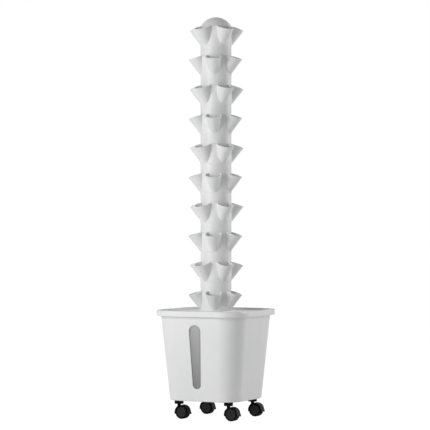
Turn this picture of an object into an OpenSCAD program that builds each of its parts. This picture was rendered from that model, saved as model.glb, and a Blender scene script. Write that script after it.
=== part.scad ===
// Hydroponic tower: a stack of planting tiers on a wheeled water tank, in millimetres.
// The origin is on the floor below the tower's axis, +Z is up and the level window faces -Y.

/* [Tank] */
// Height of the tank's underside above the floor
ride_h = 70; // [69:1:90]
// Width of the tank across its flats at the underside
tank_bottom_w = 290; // [270:1:310]
// Width of the tank across its flats just under the rim
tank_top_w = 346; // [330:1:370]
// Height of the tank's wall from the underside to the rim's lower edge
tank_body_h = 314; // [280:1:360]
// Radius of the tank's corners at the underside
tank_corner_r = 68; // [50:1:80]
// Thickness of the tank's wall and floor
tank_wall = 3; // [2.5:0.5:4]
// Height of the rim's outer skirt
rim_h = 21; // [18:1:28]
// Overhang of the rim past the wall
rim_out = 15; // [12:1:20]
// Thickness of the rim's skirt and of the shelf under the lid
rim_t = 3; // [2.5:0.5:4]
// Width of the notch that lets the pump's cable out
notch_w = 30; // [16:1:40]
// Depth of the cable notch below the rim's top
notch_drop = 6; // [4:1:8]
// Turn of the cable notch round the front right corner, from the right face
notch_turn = 21; // [0:1:45]

/* [Level window] */
// Height of the window's lower end above the tank's underside
window_low = 47; // [35:1:70]
// Length of the window's slot, measured up the wall
window_len = 237; // [180:1:240]
// Width of the slot at its upper end
window_top_w = 47; // [36:1:56]
// Width of the slot at its lower end
window_bottom_w = 33; // [24:1:36]
// Sideways place of the window on the front face
window_shift = -4; // [-12:1:12]
// Width of the seal that shows round the pane
seal_w = 1.6; // [1:0.2:2.4]
// Depth of the pane's face below the wall's face
pane_recess = 1; // [0.5:0.25:1.5]
// Width and thickness of the pane's flange inside the tank
pane_flange = 6; // [4:0.5:8]
// Thickness of the flange inside the tank
pane_flange_t = 2.5; // [2:0.25:3.5]

/* [Lid] */
// Thickness of the lid
lid_t = 4; // [3:0.5:5]
// Depth of the lid's top below the rim's top
lid_drop = 8; // [6:0.5:10]
// Gap round the lid, and round a part that drops in by hand
lid_gap = 0.4; // [0.3:0.1:0.8]
// Height of the ring round the tower's well above the lid
collar_rise = 3; // [2:0.5:3]
// Depth from the lid's top to the ledge that carries the tower
well_depth = 51; // [44:1:60]
// Diameter of the filling port
port_d = 50; // [40:1:54]
// Share of the tank's half width from the tower's axis to the filling port
port_share = 0.6; // [0.57:0.01:0.62]

/* [Filling cap] */
// Overhang of the cap's disc past the port
cap_lip = 4; // [3:0.5:6]
// Thickness of the cap's disc and of its plug's wall
cap_t = 2.5; // [2:0.5:3]
// Length of the cap's plug below the lid's top
cap_plug = 12; // [8:1:16]
// Height of the cap's finger grip
cap_grip_h = 5; // [3:0.5:5]

/* [Tiers] */
// Height from one tier to the next
tier_pitch = 110; // [104:1:122]
// Outer diameter of a tier's neck
neck_d = 116; // [108:1:120]
// Thickness of a tier's wall
tier_wall = 3; // [2.5:0.5:4]
// Depth of a tier's socket, from its rim to the ledge
socket_depth = 18; // [14:1:20]
// Thickness of the socket's wall at its rim
socket_wall = 4.1; // [3.5:0.1:5]
// Radial gap between a neck and the socket round it
neck_gap = 0.4; // [0.3:0.1:0.6]
// Height of the belt between the cups, from its foot to the socket's rim
belt_h = 73; // [66:1:76]
// Step of the belt's foot out of the neck
belt_step = 1; // [0.6:0.1:2]
// Chamfer that leads a neck into its socket
neck_lead = 1.2; // [0.8:0.1:1.8]
// Turn of the lowest tier's cups from the tank's front face
tower_turn = 19.6; // [0:0.2:36]

/* [Cups] */
// Number of cups round a tier
cup_count = 5; // [3:1:5]
// Outer diameter of a cup, measured square to its axis at the lip
cup_d = 65; // [60:1:68]
// Thickness of a cup's wall
cup_wall = 2.5; // [2:0.25:3]
// Distance of a cup's lip from the tower's axis
cup_reach = 105; // [98:1:108]
// Lean of a cup's axis from upright
cup_lean = 26; // [22:1:30]
// Taper of a cup's wall to its axis
cup_taper = 13; // [9:0.5:16]
// Rise of a cup's mouth towards the tower
mouth_slope = 18; // [14:1:20]
// Drop from the socket's rim to a cup's lip
lip_drop = 15; // [13:0.5:17]

/* [Dome cap] */
// Rise of the dome above the top socket
dome_rise = 36; // [26:1:44]
// Thickness of the dome
dome_wall = 3; // [2:0.5:4]

/* [Spray disc] */
// Thickness of the spray disc
spray_t = 3; // [2:0.5:4]
// Outer diameter of the hub that takes the riser
spray_hub_d = 28; // [26:1:34]
// Depth to which the riser goes into the hub
spray_socket = 16; // [10:1:20]
// Number of drip holes
drip_count = 15; // [6:1:20]
// Diameter of a drip hole
drip_d = 5; // [3:0.5:6]
// Diameter of the ring of drip holes
drip_ring_d = 80; // [70:1:88]
// Diameter of the four outlets round the top of the hub
spray_outlet_d = 6; // [4:0.5:7]
// Rise of the hub above the disc
spray_hub_rise = 12; // [10:1:16]
// Height of the outlets above the disc
spray_outlet_rise = 1; // [0.5:0.5:2]

/* [Riser] */
// Outer diameter of the riser tube
riser_d = 22; // [20:0.5:24]
// Thickness of the riser's wall
riser_wall = 2; // [1.5:0.25:2.5]

/* [Pump] */
// Width and height of the pump's body
pump_w = 54; // [50:1:60]
// Length of the pump's body behind the tower's axis
pump_back = 54; // [50:1:60]
// Radius of the pump body's edges
pump_edge_r = 9; // [5:1:12]
// Height of the suction feet
foot_h = 5; // [4:0.5:7]
// Diameter of a suction foot
foot_d = 16; // [12:1:18]
// Diameter of the impeller
impeller_d = 27; // [22:0.5:28]
// Width of the impeller's blades along its shaft
blade_h = 8; // [6:0.5:9]
// Thickness of a blade
blade_t = 1.5; // [1:0.25:2]
// Number of blades
blade_count = 6; // [4:1:8]
// Length of the magnet on the impeller
magnet_len = 30; // [24:1:34]
// Diameter of the magnet
magnet_d = 17; // [14:0.5:18]
// Free gap round the impeller and its magnet
impeller_gap = 1; // [0.8:0.1:1.5]
// Diameter of the impeller's shaft
shaft_d = 3; // [2.5:0.25:4]
// Diameter of the suction hole in the pump's cover
suction_d = 18; // [14:0.5:20]
// Thickness of the pump's cover and of the strainer's wall
cover_t = 3; // [2.5:0.5:4]
// Length of the strainer in front of the cover
strainer_len = 16; // [12:1:22]
// Width of a strainer slot, and of the bar beside it
slot_w = 3; // [2:0.5:3.5]
// Height of the outlet spigot above its shoulder
spigot_h = 26; // [18:1:34]
// Diameter of the cable gland
gland_d = 11; // [9:0.5:14]
// Length of the cable gland behind the pump
gland_len = 9; // [6:1:14]
// Diameter of the gland's cable hole
cable_d = 6; // [5:0.5:7]

/* [Casters] */
// Distance between the swivel axes, along each side of the tank
caster_span = 205; // [185:1:210]
// Diameter of a wheel
wheel_d = 50; // [46:1:52]
// Width of a wheel
wheel_w = 10; // [8:0.5:12]
// Distance of the axle behind the swivel axis
trail = 15.5; // [12:0.5:17]
// Gap between a wheel and the hood round it
hood_gap = 0.8; // [0.6:0.1:1.2]
// Thickness of the hood's fender
fender_t = 1.5; // [1.25:0.25:2.5]
// Thickness of the hood's web between the wheels
web_t = 8; // [7:0.5:10]
// Height of the fender's lower edge below the axle
fender_drop = 7; // [3:0.5:9]
// Length of the pointed tail behind the fender
tail_len = 3; // [1:0.5:6]
// Diameter of the caster's neck
caster_neck_d = 13; // [12:0.5:16]
// Diameter of the mounting plate
plate_d = 34; // [30:1:38]
// Thickness of the mounting plate
plate_t = 14.5; // [12:0.5:15]
// Diameter of the sleeve above the plate
sleeve_d = 14; // [12:0.5:16]
// Length of the sleeve above the plate
sleeve_len = 20; // [16:1:26]
// Diameter of the swivel pin
pin_d = 8; // [7:0.5:9]
// Depth of the swivel pin in the hood's neck
pin_seat = 5; // [4:0.5:5.5]
// Diameter of the axle
axle_d = 6; // [5:0.5:8]
// Radial clearance of a shaft that turns in its bore
running_gap = 0.05; // [0.03:0.01:0.08]
// Gap between the faces of parts that turn past each other
swivel_gap = 0.5; // [0.4:0.1:1]
// Width of the tyre that shows round the wheel's hub disc
tyre_w = 6; // [4:0.5:8]
// Depth of the hub disc below the tyre's side
hub_recess = 1; // [0.5:0.25:1.5]

/* [Hidden] */
$fn = 64;
// Reach of a cut past the face that it opens
over = 1;
// Clearance of parts that are pushed together for good
push_gap = 0.05;
// Steps along each round corner of an outline
corner_steps = 12;
tier_count = 10;
half_turn = 180;
full_turn = 360;

// The tank's wall leans out, and all its outlines grow with height by one draft
tank_z = ride_h;
rim_low_z = tank_z + tank_body_h;
rim_top_z = rim_low_z + rim_h;
draft_run = (tank_top_w - tank_bottom_w) / 2;
draft = atan(draft_run / tank_body_h);
lid_top_z = rim_top_z - lid_drop;
lid_z = lid_top_z - lid_t;
floor_z = tank_z + tank_wall;
rim_half = tank_top_w / 2 + rim_out;
corner_share = tank_corner_r / (tank_bottom_w / 2);
rim_r = corner_share * rim_half;
lid_seat_half = tank_half(lid_z) + rim_t / 2;
lid_half = lid_seat_half - lid_gap;
channel_half = rim_half - rim_t;
port_place = port_share * tank_top_w / 2;

// The window lies in the wall's own slope
window_mid_z = tank_z + window_low + window_len * cos(draft) / 2;
wall_normal = tank_wall * cos(draft);

// The column: each neck stands on the ledge of the socket below it
neck_r = neck_d / 2;
column_r = neck_r - tier_wall;
socket_r = neck_r + neck_gap;
socket_rim_r = socket_r + socket_wall;
tier_h = tier_pitch + socket_depth;
belt_z = tier_h - belt_h;
lip_z = tier_h - lip_drop;
tower_z = lid_top_z - well_depth;
tower_top_z = tower_z + tier_count * tier_pitch;
stagger = half_turn / cup_count;

// A cup is a cone that leans out and widens upward from inside the column
cup_r = cup_d / 2;
cup_foot_margin = tier_wall * 3;
cup_run = (cup_reach - column_r) * cos(cup_taper) / sin(cup_lean + cup_taper) + cup_foot_margin;

// The dome is a slice of a sphere over a skirt that goes into the top socket
dome_r = (neck_r * neck_r + dome_rise * dome_rise) / (2 * dome_rise);
dome_skirt = socket_depth - spray_t;
spray_r = socket_r - lid_gap;

// The pump stands on its feet, with its chamber below the tower's axis
pump_z = floor_z + foot_h;
shaft_z = pump_z + pump_w / 2;
chamber_r = impeller_d / 2 + impeller_gap * 3;
chamber_back = blade_h / 2 + impeller_gap + blade_t;
pump_front = chamber_back;
magnet_back = chamber_back - impeller_gap + magnet_len;
well_back = magnet_back + impeller_gap;
shaft_r = shaft_d / 2;
shaft_seat = shaft_d * 1.5;
cover_hub_r = shaft_r + cover_t / 2;
pump_top_z = pump_z + pump_w;
shoulder_h = cover_t * 2;
shoulder_r = riser_d / 2 + cover_t / 2;
riser_r = riser_d / 2;
spigot_r = riser_r - riser_wall - push_gap;
spigot_bore_r = spigot_r - riser_wall;
riser_z = pump_top_z + shoulder_h;
spray_hub_drop = spray_socket - spray_t;
riser_top_z = tower_top_z - spray_hub_drop + spray_socket;
foot_ring = pump_w / 2 - foot_d / 2;
foot_x = [-pump_back + foot_d / 2 + cover_t, chamber_back - foot_d / 2];

// A caster's own frame has its swivel axis at the origin and its axle at +X
wheel_r = wheel_d / 2;
fender_in_r = wheel_r + hood_gap;
fender_r = fender_in_r + fender_t;
wheel_in_y = web_t / 2 + swivel_gap;
wheel_out_y = wheel_in_y + wheel_w;
plate_z = tank_z - plate_t;
caster_neck_top = plate_z - swivel_gap;
pin_z = caster_neck_top - pin_seat;
pin_r = pin_d / 2;
pin_top_z = tank_z + sleeve_len - swivel_gap * 8;
boss_wall = tank_wall;
sleeve_r = sleeve_d / 2;
boss_r = sleeve_r + push_gap + boss_wall;
axle_r = axle_d / 2;
// Angle above the axle where the tail leaves the fender
tail_rise = 30;
axle_y = wheel_out_y - hub_recess - swivel_gap * 4;
CORNERS = [[-1, -1], [1, -1], [-1, 1], [1, 1]];
CORNER_NAMES = ["front_left", "front_right", "rear_left", "rear_right"];

TIER_NAMES = [for (k = [1:tier_count]) str("tier_", k < 10 ? "0" : "", k)];

// Half the tank's outer width at a height above the floor
function tank_half(z) = tank_bottom_w / 2 + draft_run * (z - tank_z) / tank_body_h;

// Outline of a square of half width h with corners of radius r
function round_square(h, r) = [
    for (q = [0:3], i = [0:corner_steps])
        let (a = 90 * q + 90 * i / corner_steps,
             c = [[1, 1], [-1, 1], [-1, -1], [1, -1]][q] * (h - r))
        c + r * [cos(a), sin(a)]
];

// Outline of the window's slot, grown by g: two arcs and the straight sides tangent to them
function window_outline(g) =
    let (r1 = window_top_w / 2, r2 = window_bottom_w / 2,
         d = window_len - r1 - r2,
         b = asin((r1 - r2) / d),
         low = -window_len / 2 + r2,
         steps = corner_steps * 2)
    concat(
        [for (i = [0:steps]) let (a = -b + (half_turn + 2 * b) * i / steps)
            [(r1 + g) * cos(a), low + d + (r1 + g) * sin(a)]],
        [for (i = [0:steps]) let (a = half_turn + b + (half_turn - 2 * b) * i / steps)
            [(r2 + g) * cos(a), low + (r2 + g) * sin(a)]]
    );

// A drafted block from height z0 to z1, set in from the tank's outer face
module drafted(z0, z1, inset) {
    h0 = tank_half(z0) - inset;
    h1 = tank_half(z1) - inset;
    translate([0, 0, z0])
        linear_extrude(z1 - z0, scale = h1 / h0)
            polygon(round_square(h0, corner_share * h0));
}

// A straight block with the rim's corner shape
module straight(z0, z1, half) {
    translate([0, 0, z0])
        linear_extrude(z1 - z0) polygon(round_square(half, corner_share * half));
}

// Places children on the front wall: +Y up the wall, +Z out of it, zero on its outer face
module on_window_wall() {
    translate([window_shift, -tank_half(window_mid_z), window_mid_z])
        rotate([90 + draft, 0, 0]) children();
}

module tank() color("gainsboro") difference() {
    union() {
        difference() {
            union() {
                drafted(tank_z, lid_z, 0);
                straight(rim_low_z, rim_top_z, rim_half);
            }
            difference() {
                straight(rim_low_z - over, lid_z - rim_t, channel_half);
                drafted(rim_low_z - over * 2, lid_z, 0);
            }
            drafted(floor_z, lid_z + over, tank_wall);
            straight(lid_z, rim_top_z + over, lid_seat_half);
            cable_notch();
        }
        for (c = CORNERS) translate([c[0] * caster_span / 2, c[1] * caster_span / 2, tank_z])
            cylinder(r = boss_r, h = sleeve_len + swivel_gap + boss_wall);
    }
    for (c = CORNERS) translate([c[0] * caster_span / 2, c[1] * caster_span / 2, tank_z - over])
        cylinder(r = sleeve_r + push_gap, h = sleeve_len + swivel_gap + over);
    on_window_wall() translate([0, 0, -wall_normal * 2])
        linear_extrude(wall_normal * 3) polygon(window_outline(0));
}

// The notch goes through the rim on a line out from the corner's centre
module cable_notch() {
    centre = rim_half - rim_r;
    translate([centre, -centre, rim_top_z - notch_drop]) rotate([0, 0, -notch_turn])
        translate([rim_r - rim_out - rim_t, -notch_w / 2, 0])
            cube([rim_out * 2, notch_w, notch_drop + over]);
}

module level_window() color("darkgray") on_window_wall() {
    translate([0, 0, -wall_normal - pane_flange_t])
        linear_extrude(pane_flange_t) polygon(window_outline(pane_flange));
    translate([0, 0, -wall_normal])
        linear_extrude(wall_normal - pane_recess) polygon(window_outline(-seal_w));
}

module window_seal() color("dimgray") on_window_wall() translate([0, 0, -wall_normal])
    linear_extrude(wall_normal) difference() {
        polygon(window_outline(0));
        polygon(window_outline(-seal_w));
    }

module tank_lid() color("whitesmoke") difference() {
    union() {
        straight(lid_z, lid_top_z, lid_half);
        translate([0, 0, tower_z - tier_wall])
            cylinder(r = socket_rim_r, h = lid_top_z + collar_rise - tower_z + tier_wall);
    }
    translate([0, 0, tower_z - tier_wall - over]) cylinder(r = column_r, h = well_depth);
    translate([0, 0, tower_z])
        cylinder(r = socket_r, h = well_depth + collar_rise + over);
    translate([port_place, -port_place, lid_z - over])
        cylinder(r = port_d / 2, h = lid_t + over * 2);
}

module fill_cap() color("whitesmoke") translate([port_place, -port_place, lid_top_z]) {
    plug_r = port_d / 2 - lid_gap;
    difference() {
        union() {
            cylinder(r = port_d / 2 + cap_lip, h = cap_t);
            translate([0, 0, -cap_plug]) cylinder(r = plug_r, h = cap_plug);
        }
        translate([0, 0, -cap_plug - over]) cylinder(r = plug_r - cap_t, h = cap_plug + over);
    }
    translate([-port_d / 3, -cap_t, cap_t]) cube([port_d * 2 / 3, cap_t * 2, cap_grip_h]);
}

// A leaning cone on a cup's axis, set in from the cup's outer face, from inside the column
// to well above the mouth
module cup_cone(inset) {
    translate([cup_reach - cup_r * cos(cup_lean), 0, lip_z + cup_r * sin(cup_lean)])
        rotate([0, cup_lean, 0]) translate([0, 0, -cup_run]) cylinder(
            r1 = cup_r - cup_run * tan(cup_taper) - inset,
            r2 = cup_r + cup_r * tan(cup_taper) - inset,
            h = cup_run + cup_r
        );
}

// Everything above a cup's mouth, which slopes up from the lip to the tower
module above_mouth() {
    translate([cup_reach, 0, lip_z]) rotate([0, mouth_slope, 0])
        translate([-cup_reach * 2, -cup_d, 0]) cube([cup_reach * 3, cup_d * 2, cup_d * 2]);
}

module tier_shape() difference() {
    union() {
        rotate_extrude() polygon([
            [0, 0], [neck_r - neck_lead, 0], [neck_r, neck_lead], [neck_r, belt_z],
            [neck_r + belt_step, belt_z], [socket_rim_r, tier_h], [0, tier_h]
        ]);
        for (i = [0:cup_count - 1]) rotate([0, 0, full_turn * i / cup_count]) difference() {
            cup_cone(0);
            above_mouth();
        }
    }
    rotate_extrude() polygon([
        [0, -over], [column_r, -over], [column_r, tier_pitch], [socket_r, tier_pitch],
        [socket_r, tier_h + cup_d], [0, tier_h + cup_d]
    ]);
    for (i = [0:cup_count - 1]) rotate([0, 0, full_turn * i / cup_count]) cup_cone(cup_wall);
}

// Tier k, counted from the top; every second one is turned by half a cup
module tier(k) color("white") {
    up = tier_count - k;
    translate([0, 0, tower_z + up * tier_pitch])
        rotate([0, 0, tower_turn - 90 + stagger * (up % 2)]) tier_shape();
}

module spray_disc() color("whitesmoke") translate([0, 0, tower_top_z]) {
    hub_r = spray_hub_d / 2;
    difference() {
        union() {
            cylinder(r = spray_r, h = spray_t);
            translate([0, 0, -spray_hub_drop]) cylinder(r = hub_r, h = spray_hub_drop);
            cylinder(r = hub_r, h = spray_t + spray_hub_rise);
        }
        translate([0, 0, -spray_hub_drop - over])
            cylinder(r = riser_r + push_gap, h = spray_socket + over);
        cylinder(r = spigot_r, h = spray_t + spray_hub_rise - cap_t);
        for (i = [0:drip_count - 1]) rotate([0, 0, full_turn * i / drip_count])
            translate([drip_ring_d / 2, 0, -over]) cylinder(r = drip_d / 2, h = spray_t + over * 2);
        for (i = [0:1]) translate([0, 0, spray_t + spray_outlet_d / 2 + spray_outlet_rise])
            rotate([0, 90, 90 * i])
                cylinder(r = spray_outlet_d / 2, h = spray_hub_d * 2, center = true);
    }
}

module dome_cap() color("white") translate([0, 0, tower_top_z + spray_t]) {
    difference() {
        union() {
            cylinder(r = neck_r, h = dome_skirt);
            translate([0, 0, dome_skirt]) intersection() {
                translate([0, 0, dome_rise - dome_r]) sphere(dome_r);
                cylinder(r = neck_r, h = dome_rise * 2);
            }
        }
        translate([0, 0, -over]) cylinder(r = neck_r - dome_wall, h = dome_skirt + over);
        translate([0, 0, dome_skirt]) intersection() {
            translate([0, 0, dome_rise - dome_r]) sphere(dome_r - dome_wall);
            cylinder(r = neck_r - dome_wall, h = dome_rise * 2);
        }
    }
}

module riser_tube() color("lightgray") translate([0, 0, riser_z]) difference() {
    cylinder(r = riser_r, h = riser_top_z - riser_z);
    translate([0, 0, -over])
        cylinder(r = riser_r - riser_wall, h = riser_top_z - riser_z + over * 2);
}

// Turns a shape drawn along +Z to lie along +X on the impeller's axis
module on_shaft(x) {
    translate([x, 0, shaft_z]) rotate([0, 90, 0]) children();
}

module pump_body() color("dimgray") difference() {
    union() {
        on_shaft(-pump_back) linear_extrude(pump_back + pump_front)
            polygon(round_square(pump_w / 2, pump_edge_r));
        translate([0, 0, pump_top_z]) cylinder(r = shoulder_r, h = shoulder_h);
        translate([0, 0, riser_z]) cylinder(r = spigot_r, h = spigot_h);
    }
    on_shaft(-chamber_back) cylinder(r = chamber_r, h = chamber_back + pump_front + over);
    on_shaft(-well_back)
        cylinder(r = magnet_d / 2 + impeller_gap, h = well_back);
    on_shaft(-well_back - shaft_seat) cylinder(r = shaft_r + push_gap, h = shaft_seat + over);
    translate([0, 0, shaft_z]) cylinder(r = spigot_bore_r, h = pump_w + spigot_h);
    on_shaft(-pump_back - over) cylinder(r = gland_d / 2, h = cover_t + over);
}

// The suction hole is crossed by three spokes, which carry the shaft's front seat
module pump_cover() color("dimgray") difference() {
    union() {
        difference() {
            on_shaft(pump_front) linear_extrude(cover_t)
                polygon(round_square(pump_w / 2, pump_edge_r));
            difference() {
                on_shaft(pump_front - over) cylinder(r = suction_d / 2, h = cover_t + over * 2);
                for (i = [0:2]) on_shaft(pump_front - over * 2) rotate([0, 0, full_turn * i / 3])
                    translate([0, -blade_t / 2, 0]) cube([suction_d, blade_t, cover_t + over * 4]);
            }
        }
        on_shaft(pump_front) cylinder(r = cover_hub_r, h = shaft_seat + cover_t / 2);
    }
    on_shaft(pump_front - over) cylinder(r = shaft_r + push_gap, h = shaft_seat + over);
}

module strainer() color("dimgray") difference() {
    on_shaft(pump_front + cover_t) linear_extrude(strainer_len)
        polygon(round_square(pump_w / 2, pump_edge_r));
    on_shaft(pump_front + cover_t - over) linear_extrude(strainer_len - cover_t + over)
        polygon(round_square(pump_w / 2 - cover_t, pump_edge_r - cover_t));
    count = floor((pump_w - pump_edge_r * 2) / (slot_w * 2));
    for (i = [0:count - 1]) translate([
        pump_front + cover_t * 2, -pump_w, shaft_z + (i - (count - 1) / 2) * slot_w * 2 - slot_w / 2
    ]) cube([strainer_len, pump_w * 2, slot_w]);
}

module impeller() color("midnightblue") difference() {
    union() {
        on_shaft(-magnet_back) cylinder(r = magnet_d / 2, h = magnet_len);
        on_shaft(-magnet_back + magnet_len) cylinder(r = impeller_d / 2, h = blade_t);
        on_shaft(-magnet_back + magnet_len) cylinder(r = cover_hub_r + blade_t, h = blade_t + blade_h);
        for (i = [0:blade_count - 1])
            on_shaft(-magnet_back + magnet_len) rotate([0, 0, full_turn * i / blade_count])
                translate([cover_hub_r, -blade_t / 2, 0])
                    cube([impeller_d / 2 - cover_hub_r - blade_t / 2, blade_t, blade_t + blade_h]);
    }
    on_shaft(-magnet_back - over)
        cylinder(r = shaft_r + running_gap, h = magnet_len + blade_t + blade_h + over * 2);
}

module impeller_shaft() color("white") on_shaft(-well_back - shaft_seat)
    cylinder(r = shaft_r, h = shaft_seat * 2 + well_back + pump_front);

module suction_feet() color("black") for (x = foot_x, s = [-1, 1])
    translate([x, s * foot_ring, floor_z]) {
        cylinder(r = foot_d / 2, h = foot_h / 2);
        cylinder(r = foot_d / 4, h = foot_h);
    }

module cable_gland() color("black") on_shaft(-pump_back - gland_len) difference() {
    cylinder(r = gland_d / 2 - push_gap, h = gland_len + cover_t);
    translate([0, 0, -over]) cylinder(r = cable_d / 2, h = gland_len + over);
}

// Places children at caster i, with the floor at zero
module at_caster(i) {
    translate([CORNERS[i][0] * caster_span / 2, CORNERS[i][1] * caster_span / 2, 0]) children();
}

// Turns a shape drawn along +Z to lie along +Y on the axle, starting at y
module on_axle(y) {
    translate([trail, y, wheel_r]) rotate([-90, 0, 0]) children();
}

module caster_plate(i) color("black") at_caster(i) difference() {
    union() {
        translate([0, 0, plate_z]) cylinder(r = plate_d / 2, h = plate_t);
        translate([0, 0, tank_z]) cylinder(r = sleeve_r, h = sleeve_len);
    }
    translate([0, 0, plate_z - over])
        cylinder(r = pin_r + running_gap, h = pin_top_z + swivel_gap - plate_z + over);
}

module swivel_pin(i) color("silver") at_caster(i) translate([0, 0, pin_z])
    cylinder(r = pin_r, h = pin_top_z - pin_z);

module caster_hood(i) color("black") at_caster(i) difference() {
    union() {
        difference() {
            union() {
                on_axle(-wheel_out_y - hood_gap) cylinder(r = fender_r, h = 2 * (wheel_out_y + hood_gap));
                translate([0, 0, wheel_r]) cylinder(r = caster_neck_d / 2, h = caster_neck_top - wheel_r);
                on_axle(-wheel_out_y - hood_gap) linear_extrude(2 * (wheel_out_y + hood_gap)) polygon([
                    [fender_in_r, 0], [fender_r * cos(tail_rise), -fender_r * sin(tail_rise)],
                    [fender_r + tail_len, fender_drop], [fender_in_r, fender_drop]
                ]);
            }
            on_axle(-wheel_out_y - hood_gap - over)
                cylinder(r = fender_in_r, h = 2 * (wheel_out_y + hood_gap + over));
        }
        on_axle(-web_t / 2) cylinder(r = fender_in_r + fender_t / 2, h = web_t);
    }
    on_axle(-wheel_out_y * 2) translate([-fender_r * 2, fender_drop, 0])
        cube([fender_r * 4, fender_r * 2, wheel_out_y * 4]);
    on_axle(-web_t) cylinder(r = axle_r + push_gap, h = web_t * 2);
    translate([0, 0, pin_z]) cylinder(r = pin_r + push_gap, h = pin_seat + over);
}

module axle(i) color("silver") at_caster(i) on_axle(-axle_y) cylinder(r = axle_r, h = axle_y * 2);

// A wheel with a blind bore on the web's side and a sunk hub disc on the open side.
// Out is 1 for the wheel that faces away from the tank's middle, and -1 for its twin.
module wheel(i, out) color("black") at_caster(i) translate([trail, 0, wheel_r])
    rotate([-90 * out * CORNERS[i][1], 0, 0]) translate([0, 0, wheel_in_y]) {
        edge = tyre_w / 3;
        bore_r = axle_r + running_gap;
        bore_end = axle_y + swivel_gap - wheel_in_y;
        rotate_extrude() polygon([
            [bore_r, 0], [wheel_r - edge, 0], [wheel_r, edge], [wheel_r, wheel_w - edge],
            [wheel_r - edge, wheel_w], [wheel_r - tyre_w, wheel_w],
            [wheel_r - tyre_w, wheel_w - hub_recess], [0, wheel_w - hub_recess], [0, bore_end],
            [bore_r, bore_end]
        ]);
    }

tank();
level_window();
window_seal();
tank_lid();
fill_cap();
for (k = [1:tier_count]) tier(k);
spray_disc();
dome_cap();
riser_tube();
pump_body();
pump_cover();
strainer();
impeller();
impeller_shaft();
suction_feet();
cable_gland();
for (i = [0:3]) caster_plate(i);
for (i = [0:3]) swivel_pin(i);
for (i = [0:3]) caster_hood(i);
for (i = [0:3]) axle(i);
for (i = [0:3]) wheel(i, 1);
for (i = [0:3]) wheel(i, -1);
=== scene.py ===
import math

import bpy
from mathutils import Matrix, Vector


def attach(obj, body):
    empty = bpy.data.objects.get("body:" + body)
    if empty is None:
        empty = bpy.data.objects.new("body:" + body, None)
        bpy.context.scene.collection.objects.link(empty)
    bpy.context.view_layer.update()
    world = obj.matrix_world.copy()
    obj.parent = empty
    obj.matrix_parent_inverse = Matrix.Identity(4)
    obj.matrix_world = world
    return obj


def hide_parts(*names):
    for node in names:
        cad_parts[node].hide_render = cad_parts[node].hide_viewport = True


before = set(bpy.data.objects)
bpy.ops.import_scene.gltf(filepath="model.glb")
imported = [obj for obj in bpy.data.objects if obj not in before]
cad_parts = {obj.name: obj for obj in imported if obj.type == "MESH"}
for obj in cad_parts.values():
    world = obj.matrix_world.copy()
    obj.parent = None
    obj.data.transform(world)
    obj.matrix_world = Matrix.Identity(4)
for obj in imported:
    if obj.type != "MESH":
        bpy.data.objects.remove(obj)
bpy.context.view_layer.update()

# a long lens level with the middle of the tower, a big soft light on its left, a weaker one on its
# right, and an even sky
studio = {
    "turn": 26.6,            # degrees from the window's face towards +X
    "distance": 7.58,
    "height": 0.7586,
    "sideStep": -0.00375,    # the tower stands a little right of the picture's middle
    "lens": 169.2,
    "keyTurn": -49.0,        # from the camera, negative is left
    "keyLift": 8.0,
    "keyLevel": 0.57,        # what it adds to a surface that faces it, 1 is full white
    "fillTurn": 106.0,
    "fillLift": 8.0,
    "fillLevel": 0.355,
    "lampDistance": 2.6,
    "lampSize": 1.6,
    "skyColour": (1, 1, 1, 1),
    "skyLevel": 0.29,        # what lights the object
    "skyShown": 1.0,         # what the camera sees behind it
    "floorSize": 60.0,
    "floorColour": (0.9, 0.9, 0.9, 1),
    "floorShown": 1.22,
    "floorShare": 0.8,       # the rest of what the camera sees is the floor with its shadow
}


def roundAbout(turn, lift, distance, middle):
    # a place seen from the middle, its turn counted from the camera's
    a, e = math.radians(studio["turn"] + turn), math.radians(lift)
    return Vector((math.sin(a) * math.cos(e), -math.cos(a) * math.cos(e), math.sin(e))) * distance + middle


def addLamp(name, turn, lift, level, middle):
    # a lamp of P watts gives P / (pi * d * d) on the object, and white needs pi of it
    d = studio["lampDistance"]
    lampData = bpy.data.lights.new(name, "AREA")
    lampData.shape = "SQUARE"
    lampData.size = studio["lampSize"]
    lampData.energy = level * math.pi * math.pi * d * d
    lamp = bpy.data.objects.new(name, lampData)
    bpy.context.scene.collection.objects.link(lamp)
    lamp.location = roundAbout(turn, lift, d, middle)
    lamp.rotation_euler = (middle - lamp.location).to_track_quat("-Z", "Y").to_euler()


def addCamera():
    a = math.radians(studio["turn"])
    camData = bpy.data.cameras.new("camera")
    camData.lens = studio["lens"]
    cam = bpy.data.objects.new("camera", camData)
    bpy.context.scene.collection.objects.link(cam)
    side = Vector((math.cos(a), math.sin(a), 0)) * studio["sideStep"]
    cam.location = Vector((math.sin(a), -math.cos(a), 0)) * studio["distance"] + side
    cam.location.z = studio["height"]
    cam.rotation_euler = (math.radians(90), 0, a)
    bpy.context.scene.camera = cam


def joined(nodes, links, operation, one, other):
    # a socket worked together with another socket or a number
    node = nodes.new("ShaderNodeMath")
    node.operation = operation
    links.new(one, node.inputs[0])
    if isinstance(other, float):
        node.inputs[1].default_value = other
    else:
        links.new(other, node.inputs[1])
    return node.outputs[0]


def seenRays(nodes, links):
    # 1 for what the camera sees straight, in a mirror or through glass
    path = nodes.new("ShaderNodeLightPath").outputs
    seen = joined(nodes, links, "MAXIMUM", path["Is Camera Ray"], path["Is Glossy Ray"])
    return joined(nodes, links, "MAXIMUM", seen, path["Is Transmission Ray"])


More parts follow.
